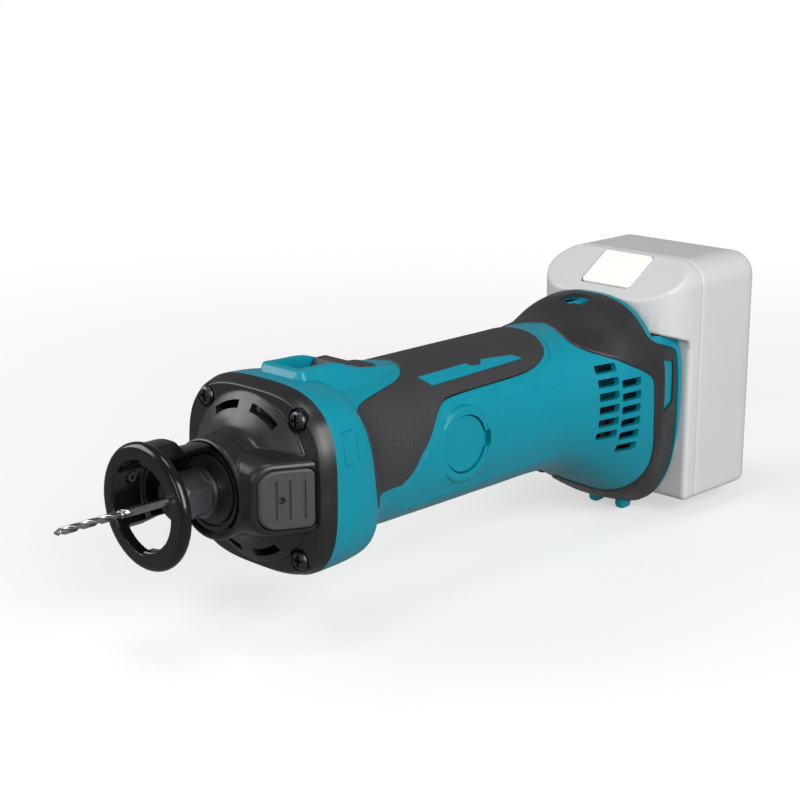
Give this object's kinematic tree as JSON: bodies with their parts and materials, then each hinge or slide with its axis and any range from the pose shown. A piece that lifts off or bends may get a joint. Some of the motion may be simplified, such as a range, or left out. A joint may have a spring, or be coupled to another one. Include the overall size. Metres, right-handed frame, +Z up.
{
  "type": "drywall cut out tool",
  "caption": "Cordless drywall cut-out tool: in-line motor body with rubber grips, spiral bit in a collet, sliding depth guide, slide switch, spindle lock and slide-on battery pack.",
  "frame": {"origin": "on the spindle axis in the plane of the depth guide's front face, where the bit's plain shank passes", "axes": "+X along the spindle to the rear, -Y the tool's left side, +Z up"},
  "size_m": [0.349, 0.076, 0.1125],
  "materials": {
    "teal_shell": "moulded, satin",
    "black_shell": "glass-filled nylon, semi-gloss",
    "soft_grip": "stippled overmould",
    "bumper_rubber": "smooth satin overmould",
    "fastener_steel": "zinc plated",
    "tool_steel": "ground",
    "dark_steel": "black oxide",
    "bearing_steel": "ground",
    "core_steel": "lamination stack",
    "magnet_ferrite": "sintered ferrite",
    "winding_copper": "enamelled wire",
    "contact_brass": "tinned",
    "brush_carbon": "pressed carbon",
    "dark_plastic": "moulded, fine texture",
    "light_plastic": "moulded",
    "pack_plastic": "moulded, satin",
    "board_laminate": "soldered",
    "cell_can": "sleeved",
    "lead_vinyl": "extruded"
  },
  "bodies": {
    "housing": {"housing_left": "teal_shell", "housing_right": "teal_shell", "grip_left": "soft_grip", "grip_right": "soft_grip", "bumper_left": "bumper_rubber", "bumper_right": "bumper_rubber", "front_housing": "black_shell", "front_screws": "fastener_steel", "housing_screws": "dark_steel", "brush_cap_left": "teal_shell", "brush_cap_right": "teal_shell", "brush_holders": "contact_brass", "carbon_brushes": "brush_carbon", "brush_springs": "fastener_steel", "magnet_yoke": "core_steel", "magnets": "magnet_ferrite", "front_bearing_outer": "bearing_steel", "rear_bearing_outer": "bearing_steel", "dust_seal": "bumper_rubber", "fan_baffle": "dark_plastic", "thumb_pad": "soft_grip", "switch_unit": "dark_plastic", "controller_board": "board_laminate", "terminal_block": "dark_plastic", "terminal_blades": "contact_brass", "power_leads": "lead_vinyl", "lock_spring": "fastener_steel"},
    "rotor": {"spindle": "tool_steel", "armature_core": "core_steel", "armature_windings": "winding_copper", "commutator": "winding_copper", "cooling_fan": "light_plastic", "front_bearing_inner": "bearing_steel", "rear_bearing_inner": "bearing_steel", "collet": "dark_steel"},
    "nut": {"collet_nut": "dark_steel"},
    "bit": {"cutting_bit": "tool_steel"},
    "guide": {"depth_guide": "black_shell", "guide_insert": "fastener_steel"},
    "clamp": {"guide_screw": "fastener_steel"},
    "switch": {"switch_knob": "dark_plastic", "switch_rod": "light_plastic"},
    "lock": {"lock_button": "dark_plastic", "lock_pin": "tool_steel"},
    "pack": {"pack_case": "pack_plastic", "pack_cover": "pack_plastic", "pack_cells": "cell_can", "pack_board": "board_laminate", "pack_terminals": "contact_brass", "pack_screws": "fastener_steel", "latch_spring": "fastener_steel"},
    "release": {"pack_button": "light_plastic"}
  },
  "joints": [
    {"name": "spindle_spin", "type": "hinge", "parent": "housing", "child": "rotor", "pos_m": [0, 0, 0], "axis": [1, 0, 0], "continuous": true},
    {"name": "nut_turn", "type": "hinge", "parent": "rotor", "child": "nut", "pos_m": [0.02, 0, 0], "axis": [1, 0, 0], "range_deg": [0, 720]},
    {"name": "bit_pull", "type": "slide", "parent": "rotor", "child": "bit", "axis": [-1, 0, 0], "range_m": [0, 0.03]},
    {"name": "guide_slide", "type": "slide", "parent": "housing", "child": "guide", "axis": [-1, 0, 0], "range_m": [-0.003, 0.007]},
    {"name": "clamp_turn", "type": "hinge", "parent": "housing", "child": "clamp", "pos_m": [0.035, 0.02, 0], "axis": [0, 1, 0], "range_deg": [0, 360]},
    {"name": "switch_slide", "type": "slide", "parent": "housing", "child": "switch", "axis": [-1, 0, 0], "range_m": [0, 0.008]},
    {"name": "lock_press", "type": "slide", "parent": "housing", "child": "lock", "axis": [0, 1, 0], "range_m": [0, 0.0035], "stiffness_N_per_m": 600, "springref_m": -0.001, "deforming": ["lock_spring"]},
    {"name": "pack_lift", "type": "slide", "parent": "housing", "child": "pack", "axis": [0, 0, 1], "range_m": [0, 0.11]},
    {"name": "release_press", "type": "slide", "parent": "pack", "child": "release", "axis": [0.3558, 0, -0.9346], "range_m": [0, 0.003], "stiffness_N_per_m": 500, "springref_m": -0.001, "deforming": ["latch_spring"]}
  ]
}
